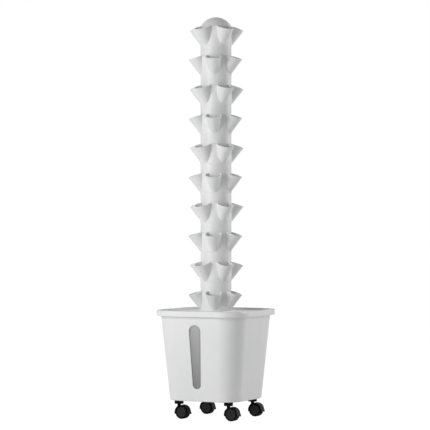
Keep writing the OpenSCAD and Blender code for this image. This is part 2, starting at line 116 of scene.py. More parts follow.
def makeSky():
    # lights the object evenly, and shows as white behind it
    world = bpy.data.worlds.new("sky")
    bpy.context.scene.world = world
    world.use_nodes = True
    nodes, links = world.node_tree.nodes, world.node_tree.links
    nodes.clear()
    out = nodes.new("ShaderNodeOutputWorld")
    mix = nodes.new("ShaderNodeMixShader")
    links.new(seenRays(nodes, links), mix.inputs[0])
    for i, level in enumerate((studio["skyLevel"], studio["skyShown"])):
        light = nodes.new("ShaderNodeBackground")
        light.inputs["Color"].default_value = studio["skyColour"]
        light.inputs["Strength"].default_value = level
        links.new(light.outputs[0], mix.inputs[i + 1])
    links.new(mix.outputs[0], out.inputs[0])


def newMaterial(name):
    mat = bpy.data.materials.new(name)
    mat.use_nodes = True
    return mat, mat.node_tree.nodes, mat.node_tree.links


def floorMaterial():
    mat, nodes, links = newMaterial("paleFloor")
    nodes.clear()
    out = nodes.new("ShaderNodeOutputMaterial")
    mix = nodes.new("ShaderNodeMixShader")
    matt = nodes.new("ShaderNodeBsdfDiffuse")
    matt.inputs["Color"].default_value = studio["floorColour"]
    glow = nodes.new("ShaderNodeEmission")
    glow.inputs["Strength"].default_value = studio["floorShown"]
    share = joined(nodes, links, "MULTIPLY", seenRays(nodes, links), studio["floorShare"])
    links.new(share, mix.inputs[0])
    links.new(matt.outputs[0], mix.inputs[1])
    links.new(glow.outputs[0], mix.inputs[2])
    links.new(mix.outputs[0], out.inputs[0])
    return mat


def makeStudio():
    bpy.context.scene.view_settings.view_transform = "Standard"
    addCamera()
    middle = Vector((0, 0, studio["height"]))
    addLamp("keyLamp", studio["keyTurn"], studio["keyLift"], studio["keyLevel"], middle)
    addLamp("fillLamp", studio["fillTurn"], studio["fillLift"], studio["fillLevel"], middle)
    makeSky()
    bpy.ops.mesh.primitive_plane_add(size=studio["floorSize"], location=(0, 0, 0))
    floor = bpy.context.object
    floor.name = "floor"
    floor.data.materials.append(floorMaterial())
    print("studio: camera, two soft lamps, sky and floor")


def noise(nodes, links, coords, scale, detail):
    node = nodes.new("ShaderNodeTexNoise")
    node.inputs["Scale"].default_value = scale
    node.inputs["Detail"].default_value = detail
    links.new(coords.outputs["Object"], node.inputs["Vector"])
    return node.outputs["Fac"]


def spread(nodes, links, value, low, high, fromLow=0, fromHigh=1):
    # a value that runs from one range is spread over another
    node = nodes.new("ShaderNodeMapRange")
    node.inputs["From Min"].default_value = fromLow
    node.inputs["From Max"].default_value = fromHigh
    node.inputs["To Min"].default_value = low
    node.inputs["To Max"].default_value = high
    links.new(value, node.inputs["Value"])
    return node.outputs["Result"]


def twoTone(nodes, links, share, first, last, firstAt=0, lastAt=1):
    node = nodes.new("ShaderNodeValToRGB")
    start, end = node.color_ramp.elements
    start.position, start.color = firstAt, first
    end.position, end.color = lastAt, last
    links.new(share, node.inputs["Fac"])
    return node.outputs["Color"]


moulding = {"cloudDetail": 4, "cloudFrom": 0.35, "cloudTo": 0.65, "grainDetail": 3, "grainDeep": 0.0002}


def plasticMaterial(look):
    # moulded plastic: a faint cloud in the colour, uneven gloss and a fine skin texture
    m = moulding
    mat, nodes, links = newMaterial(look["name"])
    skin = nodes["Principled BSDF"].inputs
    skin["Specular IOR Level"].default_value = look["specular"]
    coords = nodes.new("ShaderNodeTexCoord")

    cloud = noise(nodes, links, coords, look["cloudScale"], m["cloudDetail"])
    dark, light = (*look["dark"], 1), (*look["light"], 1)
    links.new(twoTone(nodes, links, cloud, dark, light, m["cloudFrom"], m["cloudTo"]), skin["Base Color"])
    least, most = look["rough"] - look["roughSpread"], look["rough"] + look["roughSpread"]
    links.new(spread(nodes, links, cloud, least, most), skin["Roughness"])

    bump = nodes.new("ShaderNodeBump")
    bump.inputs["Strength"].default_value = look["bump"]
    bump.inputs["Distance"].default_value = m["grainDeep"]
    links.new(noise(nodes, links, coords, look["grainScale"], m["grainDetail"]), bump.inputs["Height"])
    links.new(bump.outputs["Normal"], skin["Normal"])
    return mat


def steelMaterial():
    # ground steel with uneven gloss
    look = {"colour": (0.60, 0.60, 0.59, 1), "roughLow": 0.22, "roughHigh": 0.38, "markScale": 900,
            "markDetail": 2}
    mat, nodes, links = newMaterial("steel")
    skin = nodes["Principled BSDF"].inputs
    skin["Base Color"].default_value = look["colour"]
    skin["Metallic"].default_value = 1.0
    marks = noise(nodes, links, nodes.new("ShaderNodeTexCoord"), look["markScale"], look["markDetail"])
    links.new(spread(nodes, links, marks, look["roughLow"], look["roughHigh"]), skin["Roughness"])
    return mat


def windowMaterial():
    # smoky plastic with painted light: its colour is made lighter towards its upper end and its right side,
    # as if more light came through from inside
    look = {"low": (0.22, 0.22, 0.224, 1), "high": (0.50, 0.50, 0.505, 1), "lowZ": 0.12, "highZ": 0.35,
            "leftX": -0.026, "rightX": 0.018, "paintedSideShare": 0.42, "clear": 0.12, "rough": 0.5}
    mat, nodes, links = newMaterial("windowPlastic")
    skin = nodes["Principled BSDF"].inputs
    skin["Roughness"].default_value = look["rough"]
    skin["Transmission Weight"].default_value = look["clear"]
    place = nodes.new("ShaderNodeSeparateXYZ")
    links.new(nodes.new("ShaderNodeTexCoord").outputs["Object"], place.inputs["Vector"])
    # painted light: the share of the lighter colour grows upwards and to the right across the pane
    up = spread(nodes, links, place.outputs["Z"], 0, 1 - look["paintedSideShare"], look["lowZ"], look["highZ"])
    side = spread(nodes, links, place.outputs["X"], 0, look["paintedSideShare"], look["leftX"], look["rightX"])
    share = joined(nodes, links, "ADD", up, side)
    links.new(twoTone(nodes, links, share, look["low"], look["high"]), skin["Base Color"])
    return mat


making = {
    "startSize": 0.01,       # the small plane that an outline starts from
    "weldGap": 0.000002,     # points closer than this become one
    "sliver": 0.000005,      # faces thinner than this go
    "straight": 89.5,        # half of a corner's angle, from which it needs no arc
    "edgeShare": 0.48,       # the most of an edge that an arc takes
    "ease": 0.5,             # how far a smoothing pass moves a point
    "quickCell": 2,
    "quickShare": 3,         # and a third of the triangles
}


def choose(thing):
    bpy.ops.object.select_all(action="DESELECT")
    thing.select_set(True)
    bpy.context.view_layer.objects.active = thing


def openAll(thing):
    # into edit mode, with all of the piece selected
    choose(thing)
    bpy.ops.object.mode_set(mode="EDIT")
    bpy.ops.mesh.select_all(action="SELECT")


def close(thing):
    bpy.ops.object.mode_set(mode="OBJECT")
    return thing


def settle(thing):
    # the place, turn and size go into the mesh
    choose(thing)
    bpy.ops.object.transform_apply(location=True, rotation=True, scale=True)
    return thing


def moved(thing, place, turn=(0, 0, 0)):
    thing.rotation_euler = [math.radians(a) for a in turn]
    thing.location = place
    return settle(thing)


def applyAll(thing):
    choose(thing)
    for modifier in list(thing.modifiers):
        bpy.ops.object.modifier_apply(modifier=modifier.name)
    return thing


def outward(thing):
    # one clean skin whose faces point outwards
    openAll(thing)
    bpy.ops.mesh.remove_doubles(threshold=making["weldGap"])
    bpy.ops.mesh.dissolve_degenerate(threshold=making["sliver"])
    bpy.ops.mesh.delete_loose()
    bpy.ops.mesh.select_all(action="SELECT")
    bpy.ops.mesh.normals_make_consistent(inside=False)
    return close(thing)


def drawOutline(name, points):
    # a small plane is drawn together to one point, which is extruded from place to place, and filled
    bpy.ops.mesh.primitive_plane_add(size=making["startSize"], location=points[0])
    thing = bpy.context.object
    thing.name = name
    openAll(thing)
    bpy.ops.mesh.merge(type="CENTER")
    for here, there in zip(points, points[1:]):
        step = Vector(there) - Vector(here)
        bpy.ops.mesh.extrude_vertices_move(TRANSFORM_OT_translate={"value": step})
    bpy.ops.mesh.select_all(action="SELECT")
    bpy.ops.mesh.edge_face_add()
    return settle(close(thing))


def arc(r, start, turn, steps, y=0):
    # points round (0, y), by angles from +X
    angles = [start + turn * i / steps for i in range(steps + 1)]
    return [(r * math.cos(a), y + r * math.sin(a)) for a in angles]


def rounded(corners, steps):
    # a closed outline whose corner (x, y, r) becomes an arc of radius r
    outline = []
    for i, (x, y, r) in enumerate(corners):
        corner = Vector((x, y))
        back = Vector(corners[i - 1][:2]) - corner
        ahead = Vector(corners[(i + 1) % len(corners)][:2]) - corner
        half = back.angle(ahead) / 2
        if r == 0 or half > math.radians(making["straight"]):
            outline.append((x, y))
            continue
        most = making["edgeShare"]
        shorter = min(r / math.tan(half), back.length * most, ahead.length * most)
        r = shorter * math.tan(half)
        middle = corner + (back.normalized() + ahead.normalized()).normalized() * (r / math.sin(half))
        first = corner + back.normalized() * shorter - middle
        last = corner + ahead.normalized() * shorter - middle
        turn = first.angle_signed(last)
        for s in range(steps + 1):
            a = -turn * s / steps
            outline.append((middle.x + first.x * math.cos(a) - first.y * math.sin(a),
                            middle.y + first.x * math.sin(a) + first.y * math.cos(a)))
    return outline


def lathe(name, corners, steps=96, arcSteps=4):
    # a closed outline of (radius, height, corner radius) spun round the axis
    thing = drawOutline(name, [(x, 0, z) for x, z in rounded(corners, arcSteps)])
    openAll(thing)
    bpy.ops.mesh.delete(type="ONLY_FACE")
    bpy.ops.mesh.select_all(action="SELECT")
    bpy.ops.mesh.spin(steps=steps, angle=2 * math.pi, center=(0, 0, 0), axis=(0, 0, 1))
    return outward(close(thing))


def squareSweep(name, corners, share, guide=None, cornerSteps=14, arcSteps=4):
    # rings of (half width, height, corner radius), each a square whose own corners are rounded by the
    # share. The guide comes before the first corner, only to aim its arc, and isn't made
    rings = rounded([*corners, guide], arcSteps)[:-1] if guide else rounded(corners, arcSteps)
    (h, z), rest = rings[0], rings[1:]
    bpy.ops.mesh.primitive_plane_add(size=h * 2, location=(0, 0, z))
    thing = bpy.context.object
    thing.name = name
    openAll(thing)
    bpy.ops.mesh.bevel(offset=h * share, segments=cornerSteps, affect="VERTICES", clamp_overlap=False)
    bpy.ops.mesh.select_all(action="SELECT")
    for nextH, nextZ in rest:
        bpy.ops.mesh.extrude_region_move(TRANSFORM_OT_translate={"value": (0, 0, nextZ - z)})
        bpy.ops.transform.resize(value=(nextH / h, nextH / h, 1), center_override=(0, 0, nextZ))
        h, z = nextH, nextZ
    bpy.ops.mesh.select_all(action="SELECT")
    bpy.ops.mesh.normals_make_consistent(inside=False)
    return settle(close(thing))


def prism(name, outline, low, high):
    # an outline in XY raised from one height to another
    thing = drawOutline(name, [(x, y, low) for x, y in outline])
    openAll(thing)
    bpy.ops.mesh.extrude_region_move(TRANSFORM_OT_translate={"value": (0, 0, high - low)})
    return outward(close(thing))


def drum(name, r, low, high, steps=64):
    bpy.ops.mesh.primitive_cylinder_add(vertices=steps, radius=r, depth=high - low,
                                        location=(0, 0, (low + high) / 2))
    thing = bpy.context.object
    thing.name = name
    return settle(thing)


def block(name, size, place):
    bpy.ops.mesh.primitive_cube_add(size=1, location=place)
    thing = bpy.context.object
    thing.name = name
    thing.scale = size
    return settle(thing)


def join(thing, other, operation="UNION"):
    step = thing.modifiers.new("step", "BOOLEAN")
    step.operation = operation
    step.solver = "EXACT"
    step.object = other
    applyAll(thing)
    bpy.data.objects.remove(other, do_unlink=True)
    return thing


def cut(thing, other):
    return join(thing, other, "DIFFERENCE")


def trim(thing, place, normal):
    # takes off what lies beyond a plane
    openAll(thing)
    bpy.ops.mesh.bisect(plane_co=place, plane_no=normal, use_fill=True, clear_outer=True)
    return close(thing)


def breakEdges(thing, width, fromAngle=35, steps=2):
    bevel = thing.modifiers.new("edges", "BEVEL")
    bevel.width = width
    bevel.segments = steps
    bevel.limit_method = "ANGLE"
    bevel.angle_limit = math.radians(fromAngle)
    bevel.use_clamp_overlap = True
    bevel.miter_outer = "MITER_ARC"
    return applyAll(thing)


def soften(thing, sizes):
    skin = thing.modifiers.new("skin", "REMESH")
    skin.mode = "VOXEL"
    skin.voxel_size = sizes["skin"]
    ease = thing.modifiers.new("ease", "SMOOTH")
    ease.factor = making["ease"]
    ease.iterations = sizes["passes"]
    applyAll(thing)
    wanted = sizes["triangles"]
    now = sum(len(p.vertices) - 2 for p in thing.data.polygons)
    fewer = thing.modifiers.new("fewer", "DECIMATE")
    fewer.ratio = min(1.0, wanted / now)
    return applyAll(thing)


def copyOf(thing, name):
    other = thing.copy()
    other.data = thing.data.copy()
    other.name = name
    bpy.context.scene.collection.objects.link(other)
    return other


def finishPiece(thing, look, slot, body, *nodes, smoothAngle=35, keepFlats=False):
    thing.data.materials.clear()
    thing.data.materials.append(look)
    choose(thing)
    bpy.ops.object.shade_smooth_by_angle(angle=math.radians(smoothAngle))
    if keepFlats:
        # large flat faces stay evenly lit up to their rounded edges
        flats = thing.modifiers.new("flats", "WEIGHTED_NORMAL")
        flats.keep_sharp = True
        applyAll(thing)
    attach(thing, body)
    if nodes:
        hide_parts(*nodes)


whiteLook = plasticMaterial({
    "name": "whitePlastic", "dark": (0.80, 0.805, 0.81), "light": (0.83, 0.83, 0.83), "cloudScale": 6,
    "rough": 0.42, "specular": 0.5, "roughSpread": 0.05, "grainScale": 900, "bump": 0.08})
casterLook = plasticMaterial({
    "name": "casterPlastic", "dark": (0.0025, 0.0025, 0.0028), "light": (0.005, 0.005, 0.0054),
    "cloudScale": 40, "rough": 0.38, "specular": 0.05, "roughSpread": 0.08, "grainScale": 2600, "bump": 0.2})
tyreLook = plasticMaterial({
    "name": "tyreRubber", "dark": (0.003, 0.003, 0.003), "light": (0.005, 0.005, 0.005),
    "cloudScale": 60, "rough": 0.55, "specular": 0.05, "roughSpread": 0.1, "grainScale": 1800, "bump": 0.3})
discLook = plasticMaterial({
    "name": "discPlastic", "dark": (0.012, 0.012, 0.013), "light": (0.020, 0.020, 0.021),
    "cloudScale": 50, "rough": 0.36, "specular": 0.12, "roughSpread": 0.08, "grainScale": 2600, "bump": 0.2})
sealLook = plasticMaterial({
    "name": "sealRubber", "dark": (0.14, 0.14, 0.145), "light": (0.18, 0.18, 0.185),
    "cloudScale": 60, "rough": 0.6, "specular": 0.3, "roughSpread": 0.08, "grainScale": 2200, "bump": 0.25})
tubeLook = plasticMaterial({
    "name": "tubePlastic", "dark": (0.52, 0.54, 0.56), "light": (0.62, 0.64, 0.66),
    "cloudScale": 12, "rough": 0.3, "specular": 0.5, "roughSpread": 0.06, "grainScale": 1200, "bump": 0.08})
pumpLook = plasticMaterial({
    "name": "pumpPlastic", "dark": (0.020, 0.021, 0.023), "light": (0.034, 0.035, 0.038),
    "cloudScale": 30, "rough": 0.45, "specular": 0.4, "roughSpread": 0.08, "grainScale": 2000, "bump": 0.3})
impellerLook = plasticMaterial({
    "name": "impellerPlastic", "dark": (0.018, 0.028, 0.075), "light": (0.028, 0.042, 0.105),
    "cloudScale": 40, "rough": 0.35, "specular": 0.5, "roughSpread": 0.06, "grainScale": 2000, "bump": 0.15})
ceramicLook = plasticMaterial({
    "name": "shaftCeramic", "dark": (0.72, 0.70, 0.66), "light": (0.78, 0.76, 0.72),
    "cloudScale": 80, "rough": 0.2, "specular": 0.5, "roughSpread": 0.05, "grainScale": 3000, "bump": 0.05})
steelLook = steelMaterial()
windowLook = windowMaterial()
makeStudio()

tank = {
    "low": 0.070, "high": 0.384, "bottomHalf": 0.145, "topHalf": 0.173, "wall": 0.003,
    "share": 68 / 145,       # of its half width, what a rounded corner takes
    "innerHalf": 0.02,       # the last ring on the floor, filled with one face
    "rimTop": 0.405, "rimHalf": 0.188, "rimSkirt": 0.003, "shelf": 0.390, "seat": 0.393, "seatHalf": 0.1753,
    "footR": 0.004, "shelfR": 0.0015, "rimR": 0.0028, "floorR": 0.003, "edgeR": 0.0008, "edge": 0.0007,
    "notchLong": 0.040, "notchWide": 0.030, "notchDeep": 0.006, "notchTurn": -21.0,
    "bossAt": 0.1025, "bossR": 0.01005, "bossHigh": 0.0235, "bossUp": 0.0005,
    "boreR": 0.00705, "boreHigh": 0.0205, "borePast": 0.001,
}
tankDraft = math.atan2(tank["topHalf"] - tank["bottomHalf"], tank["high"] - tank["low"])
window = {
    "shift": -0.004, "middle": 0.2351, "long": 0.237, "highR": 0.0235, "lowR": 0.0165, "arcSteps": 32,
    "slotIn": 0.006, "slotOut": 0.003,
    "recess": 0.001, "paneOverlap": 0.001, "paneEdge": 0.0006, "flange": 0.006, "flangeThick": 0.0025,
    "seal": 0.0016, "sealRecess": 0.0003, "sealPlay": 0.00005, "panePlay": 0.00002, "sealPast": 0.01,
    "sealEdge": 0.0003,
    "sharp": 60,             # the angle from which its edges are broken
}


def tankHalf(z):
    # half the tub's width at a height
    widens = tank["topHalf"] - tank["bottomHalf"]
    return tank["bottomHalf"] + widens * (z - tank["low"]) / (tank["high"] - tank["low"])


def windowOutline(grow):
    # a slot that narrows downwards, grown by some width
    w = window
    between = w["long"] - w["highR"] - w["lowR"]
    flank = math.asin((w["highR"] - w["lowR"]) / between)
    low = w["lowR"] - w["long"] / 2
    upper = arc(w["highR"] + grow, -flank, math.pi + 2 * flank, w["arcSteps"], low + between)
    lower = arc(w["lowR"] + grow, math.pi + flank, math.pi - 2 * flank, w["arcSteps"], low)
    return upper + lower


def onWindowWall(thing):
    # from flat, with +Y up the wall and +Z out of it, to the wall's own lean
    place = (window["shift"], -tankHalf(window["middle"]), window["middle"])
    return moved(thing, place, (90 + math.degrees(tankDraft), 0, 0))


def cutNotch(body):
    # the cable's way through the rim, in its front right corner
    t = tank
    corner = t["rimHalf"] * (1 - t["share"])
    reach = t["rimHalf"] * t["share"]
    size = (t["notchLong"], t["notchWide"], t["notchDeep"] * 2)
    notch = block("notch", size, (reach, 0, t["rimTop"]))
    cut(body, moved(notch, (corner, -corner, 0), (0, 0, t["notchTurn"])))


def makeTank():
    t = tank
    floorZ = t["low"] + t["wall"]
    skirtHalf = t["rimHalf"] - t["rimSkirt"]
    body = squareSweep("tankShell", [
        (t["bottomHalf"], t["low"], t["footR"]),
        (tankHalf(t["shelf"]), t["shelf"], t["shelfR"]),
        (skirtHalf, t["shelf"], t["shelfR"]),
        (skirtHalf, t["high"], t["edgeR"]),
        (t["rimHalf"], t["high"], t["edgeR"]),
        (t["rimHalf"], t["rimTop"], t["rimR"]),
        (t["seatHalf"], t["rimTop"], t["edgeR"]),
        (t["seatHalf"], t["seat"], 0),
        (tankHalf(t["seat"]) - t["wall"], t["seat"], t["edgeR"]),
        (tankHalf(floorZ) - t["wall"], floorZ, t["floorR"]),
        (t["innerHalf"], floorZ, 0),
    ], t["share"], guide=(t["innerHalf"], t["low"], 0))
    cutNotch(body)
    for x in (-1, 1):
        for y in (-1, 1):
            place = (x * t["bossAt"], y * t["bossAt"], 0)
            boss = drum("boss", t["bossR"], t["low"] + t["bossUp"], t["low"] + t["bossHigh"])
            join(body, moved(boss, place))
            bore = drum("bore", t["boreR"], t["low"] - t["borePast"], t["low"] + t["boreHigh"])
            cut(body, moved(bore, place))
    cut(body, onWindowWall(prism("slot", windowOutline(0), -window["slotIn"], window["slotOut"])))
    breakEdges(body, t["edge"])
    finishPiece(body, whiteLook, "white_plastic", "tank", "tank", keepFlats=True)
    print("tank: shell", len(body.data.polygons))


def makeWindow():
    w = window
    wallBack = -tank["wall"] * math.cos(tankDraft)
    pane = prism("windowPane", windowOutline(-w["seal"]), wallBack - w["paneOverlap"], -w["recess"])
    breakEdges(pane, w["paneEdge"], w["sharp"])
    join(pane, prism("flange", windowOutline(w["flange"]), wallBack - w["flangeThick"], wallBack))
    finishPiece(onWindowWall(pane), windowLook, "window_plastic", "tank", "level_window")
    ring = prism("windowSeal", windowOutline(-w["sealPlay"]), wallBack, -w["sealRecess"])
    cut(ring, prism("hole", windowOutline(w["panePlay"] - w["seal"]), -w["sealPast"], w["sealPast"]))
    breakEdges(ring, w["sealEdge"], w["sharp"])
    finishPiece(onWindowWall(ring), sealLook, "seal_rubber", "tank", "window_seal")
    print("window: pane and seal")


makeTank()
makeWindow()

lid = {
    "low": 0.393, "top": 0.397, "half": 0.1749, "innerHalf": 0.02, "edgeR": 0.0008, "edge": 0.0006,
    "wellFloor": 0.346, "wellBase": 0.343, "wellR": 0.0584, "wellOut": 0.0625, "boreR": 0.055,
    "collarTop": 0.400, "collarR": 0.0014, "portR": 0.025, "portAt": 0.1038,
    "past": 0.002,           # how far a cutter runs past what it cuts
}


def makeLid():
    c = lid
    below, above = c["wellBase"] - c["past"], c["collarTop"] + c["past"]
    plate = squareSweep("lidPlate", [
        (c["innerHalf"], c["low"], 0),
        (c["half"], c["low"], c["edgeR"] / 2),
        (c["half"], c["top"], c["edgeR"]),
        (c["innerHalf"], c["top"], 0),
    ], tank["share"])
    join(plate, lathe("well", [
        (0, c["wellBase"], 0),
        (c["wellOut"], c["wellBase"], c["edgeR"]),
        (c["wellOut"], c["collarTop"], c["collarR"]),
        (0, c["collarTop"], 0),
    ]))
    cut(plate, lathe("hole", [
        (0, below, 0), (c["boreR"], below, 0),
        (c["boreR"], c["wellFloor"], 0), (c["wellR"], c["wellFloor"], 0),
        (c["wellR"], above, 0), (0, above, 0),
    ]))
    port = drum("port", c["portR"], c["low"] - c["past"], c["top"] + c["past"])
    cut(plate, moved(port, (c["portAt"], -c["portAt"], 0)))
    breakEdges(plate, c["edge"])
    outward(plate)
    finishPiece(plate, whiteLook, "white_plastic", "tank", "tank_lid", keepFlats=True)
    print("lid with its well")


makeLid()

cap = {
    "thick": 0.0025, "lip": 0.004, "lipLowR": 0.0004, "lipTopR": 0.0012,
    "plug": 0.012, "plugR": 0.0246, "plugTopR": 0.0003, "plugFootR": 0.0012, "hollowR": 0.0006,
    "gripLong": 0.0333, "gripWide": 0.005, "gripHigh": 0.005, "gripSunk": 0.001,
    "gripEdge": 0.0016, "gripSharp": 60, "gripSteps": 4, "edge": 0.0006, "sharp": 50,
}


def makeFillCap():
    c = cap
    low = lid["top"]
    top, foot = low + c["thick"], low - c["plug"]
    outR, inR = lid["portR"] + c["lip"], c["plugR"] - c["thick"]
    disc = lathe("fillCap", [
        (0, top, 0), (0, low, 0), (inR, low, 0),
        (inR, foot, c["hollowR"]), (c["plugR"], foot, c["plugFootR"]),
        (c["plugR"], low, c["plugTopR"]), (outR, low, c["lipLowR"]), (outR, top, c["lipTopR"]),
    ])
    size = (c["gripLong"], c["gripWide"], c["gripHigh"] + c["gripSunk"])
    grip = block("grip", size, (0, 0, top + c["gripHigh"] / 2 - c["gripSunk"] / 2))
    breakEdges(grip, c["gripEdge"], c["gripSharp"], c["gripSteps"])
    join(disc, grip)
    breakEdges(disc, c["edge"], c["sharp"])
    moved(disc, (lid["portAt"], -lid["portAt"], 0))
    finishPiece(disc, whiteLook, "white_plastic", "fill_cap", "fill_cap")
    print("filling cap")


makeFillCap()

tier = {
    "count": 10, "pitch": 0.110, "foot": 0.346, "high": 0.128, "turn": 19.6 - 90, "stagger": 36,
    "neckR": 0.058, "lead": 0.0012, "wall": 0.003, "beltFoot": 0.055, "beltStep": 0.001,
    "socketR": 0.0584, "rimR": 0.0625, "ledge": 0.110, "past": 0.002, "pastTop": 0.06,
    "cups": 5, "cupR": 0.0325, "cupWall": 0.0025, "reach": 0.105, "lip": 0.113,
    "lean": 26, "taper": 13, "slope": 18, "coneSteps": 96,
    "footWalls": 3,          # how many walls deep a cup's foot runs on inside the column
    "mouthPast": 0.012,
    "skin": 0.0012, "passes": 5, "quickPasses": 2, "triangles": 56000, "smooth": 60,
}


def cupCone(name, inset):
    # leans out from inside the column and runs on past the mouth
    t = tier
    a, b = math.radians(t["lean"]), math.radians(t["taper"])
    deep = t["wall"] * t["footWalls"]
    run = (t["reach"] - t["neckR"] + t["wall"]) * math.cos(b) / math.sin(a + b) + deep
    rise = t["cupR"] + t["mouthPast"]
    bpy.ops.mesh.primitive_cone_add(
        vertices=t["coneSteps"], depth=run + rise, location=(0, 0, (rise - run) / 2),
        radius1=t["cupR"] - run * math.tan(b) - inset, radius2=t["cupR"] + rise * math.tan(b) - inset)
    cone = bpy.context.object
    cone.name = name
    mouth = (t["reach"] - t["cupR"] * math.cos(a), 0, t["lip"] + t["cupR"] * math.sin(a))
    return moved(settle(cone), mouth, (0, t["lean"], 0))


def makeTier():
    t = tier
    body = lathe("tierShape", [
        (0, 0, 0), (t["neckR"] - t["lead"], 0, 0), (t["neckR"], t["lead"], 0),
        (t["neckR"], t["beltFoot"], 0), (t["neckR"] + t["beltStep"], t["beltFoot"], 0),
        (t["rimR"], t["high"], 0), (0, t["high"], 0),
    ])
    turns = [(0, 0, 360 * i / t["cups"]) for i in range(t["cups"])]
    slope = math.radians(t["slope"])
    for turn in turns:
        cup = trim(cupCone("cup", 0), (t["reach"], 0, t["lip"]), (math.sin(slope), 0, math.cos(slope)))
        join(body, moved(cup, (0, 0, 0), turn))
    boreR, above = t["neckR"] - t["wall"], t["high"] + t["pastTop"]
    hollow = lathe("hollow", [
        (0, -t["past"], 0), (boreR, -t["past"], 0), (boreR, t["ledge"], 0),
        (t["socketR"], t["ledge"], 0), (t["socketR"], above, 0), (0, above, 0),
    ])
    for turn in turns:
        join(hollow, moved(cupCone("bore", t["cupWall"]), (0, 0, 0), turn))
    cut(body, hollow)
    print("tier: shape joined", len(body.data.polygons))
    soften(body, t)
    print("tier: skin", len(body.data.polygons))
    return body


def stackTiers():
    # tier 1 is the top one, and every second tier is turned so that its cups stand over gaps
    t = tier
    body = makeTier()
    for k in range(1, t["count"] + 1):
        up = t["count"] - k
        one = copyOf(body, f"tierSkin{k:02d}")
        moved(one, (0, 0, t["foot"] + up * t["pitch"]), (0, 0, t["turn"] + t["stagger"] * (up % 2)))
        finishPiece(one, whiteLook, "white_plastic", "tank", f"tier_{k:02d}", smoothAngle=t["smooth"])
    bpy.data.objects.remove(body, do_unlink=True)
    print("tiers:", t["count"], "placed")


stackTiers()

dome = {
    "foot": 1.449, "skirt": 0.015, "r": 0.058, "wall": 0.003, "rise": 0.036, "edgeR": 0.0012,
    "shoulderR": 0.0015, "arcSteps": 24, "steps": 128,
    "near": 0.0005,          # the hollow's arc stops this close to the skirt's inside
}


def makeDome():
    # part of a ball on a short skirt
    d = dome
    ballR = (d["r"] ** 2 + d["rise"] ** 2) / (2 * d["rise"])
    hollowR = ballR - d["wall"]
    innerR = d["r"] - d["wall"]
    shoulder = d["foot"] + d["skirt"]
    middle = shoulder + d["rise"] - ballR
    outer, inner = [], []
    for i in range(d["arcSteps"] + 1):
        share = i / d["arcSteps"]
        a = math.asin(d["r"] / ballR) * (1 - share)
        outer.append((ballR * math.sin(a), middle + ballR * math.cos(a), d["shoulderR"] if i == 0 else 0))
        b = math.acos((shoulder - middle) / hollowR) * share
        inner.append((hollowR * math.sin(b), middle + hollowR * math.cos(b), 0))
    inner = [p for p in inner if p[0] < innerR - d["near"]]
    inner.append((innerR, middle + math.sqrt(hollowR ** 2 - innerR ** 2), 0))
    foot = [(innerR, d["foot"], d["edgeR"]), (d["r"], d["foot"], d["edgeR"])]
    shell = lathe("domeShell", [*foot, *outer, *inner], d["steps"])
    finishPiece(shell, whiteLook, "white_plastic", "dome_cap", "dome_cap")
    print("dome")


makeDome()

caster = {
    "at": 0.1025, "trail": 0.0155, "axleZ": 0.025,
    "play": 0.00005,         # between a pin or an axle and its bore
    "endGap": 0.0005,        # past the end of a pin or an axle
    "pinR": 0.004, "pinLow": 0.050, "pinTop": 0.086, "pinEdgeR": 0.0005,
    "axleR": 0.003, "axleHalf": 0.0115, "axleEdgeR": 0.0004, "rodSteps": 48,
    "corners": {"front_left": (-1, -1), "front_right": (1, -1), "rear_left": (-1, 1), "rear_right": (1, 1)},
}
hood = {
    "inR": 0.0258, "outR": 0.0273, "half": 0.0153, "web": 0.008, "drop": 0.007, "tail": 0.003,
    "tailRise": 30, "neckR": 0.0065, "neckUp": 0.015, "neckTop": 0.055, "overlap": 0.001,
    "arcSteps": 48, "roundSteps": 96, "neckSteps": 48,
    "skin": 0.00055, "passes": 3, "quickPasses": 1, "triangles": 20000, "smooth": 60,
}
mount = {
    "low": 0.0555, "r": 0.017, "thick": 0.0145, "sleeveR": 0.007, "sleeve": 0.020,
    "boreEdgeR": 0.0003, "footEdgeR": 0.0012, "topEdgeR": 0.0006, "steps": 64,
}
wheel = {
    "r": 0.025, "inside": 0.0045, "outside": 0.0145, "discR": 0.0189, "dish": 0.0012,
    "backRim": 0.0045, "backEdgeR": 0.0004, "tread": 0.002, "treadR": 0.0018,
    "faceRim": 0.0035, "faceEdgeR": 0.001, "seamR": 0.0006, "recess": 0.001, "boreEdgeR": 0.0003,
    "discEdgeR": 0.0005, "ringOut": 0.72, "ringIn": 0.66, "ringDeep": 0.0007, "ringR": 0.0008,
    "hubFoot": 0.0056, "hubFootR": 0.0006, "hubR": 0.005, "hubEdgeR": 0.0005, "steps": 96,
}


def onAxle(thing):
    # from lying round the Z axis at zero to standing round a caster's axle
    return moved(thing, (caster["trail"], 0, caster["axleZ"]), (90, 0, 0))


def makeHood():
    # seen from the side, x back along the trail and y up, from the axle
    c, h = caster, hood
    below = math.asin(h["drop"] / h["outR"])
    side = arc(h["outR"], math.pi + below, math.radians(h["tailRise"]) - math.pi - below, h["arcSteps"])
    side.append((h["outR"] + h["tail"], -h["drop"]))
    below = math.asin(h["drop"] / h["inR"])
    side += arc(h["inR"], -below, math.pi + 2 * below, h["arcSteps"])
    body = onAxle(prism("casterHood", side, -h["half"], h["half"]))
    web = drum("web", h["inR"] + h["overlap"], -h["web"] / 2, h["web"] / 2, h["roundSteps"])
    join(body, onAxle(trim(web, (0, -h["drop"], 0), (0, -1, 0))))
    neck = drum("neck", h["neckR"], c["axleZ"] + h["neckUp"], h["neckTop"], h["neckSteps"])
    cut(neck, onAxle(drum("room", h["inR"], -h["half"], h["half"], h["roundSteps"])))
    join(body, neck)
    cut(body, onAxle(drum("bore", c["axleR"] + c["play"], -h["web"], h["web"])))
    cut(body, drum("seat", c["pinR"] + c["play"], c["pinLow"], h["neckTop"] + h["overlap"]))
    return soften(body, h)


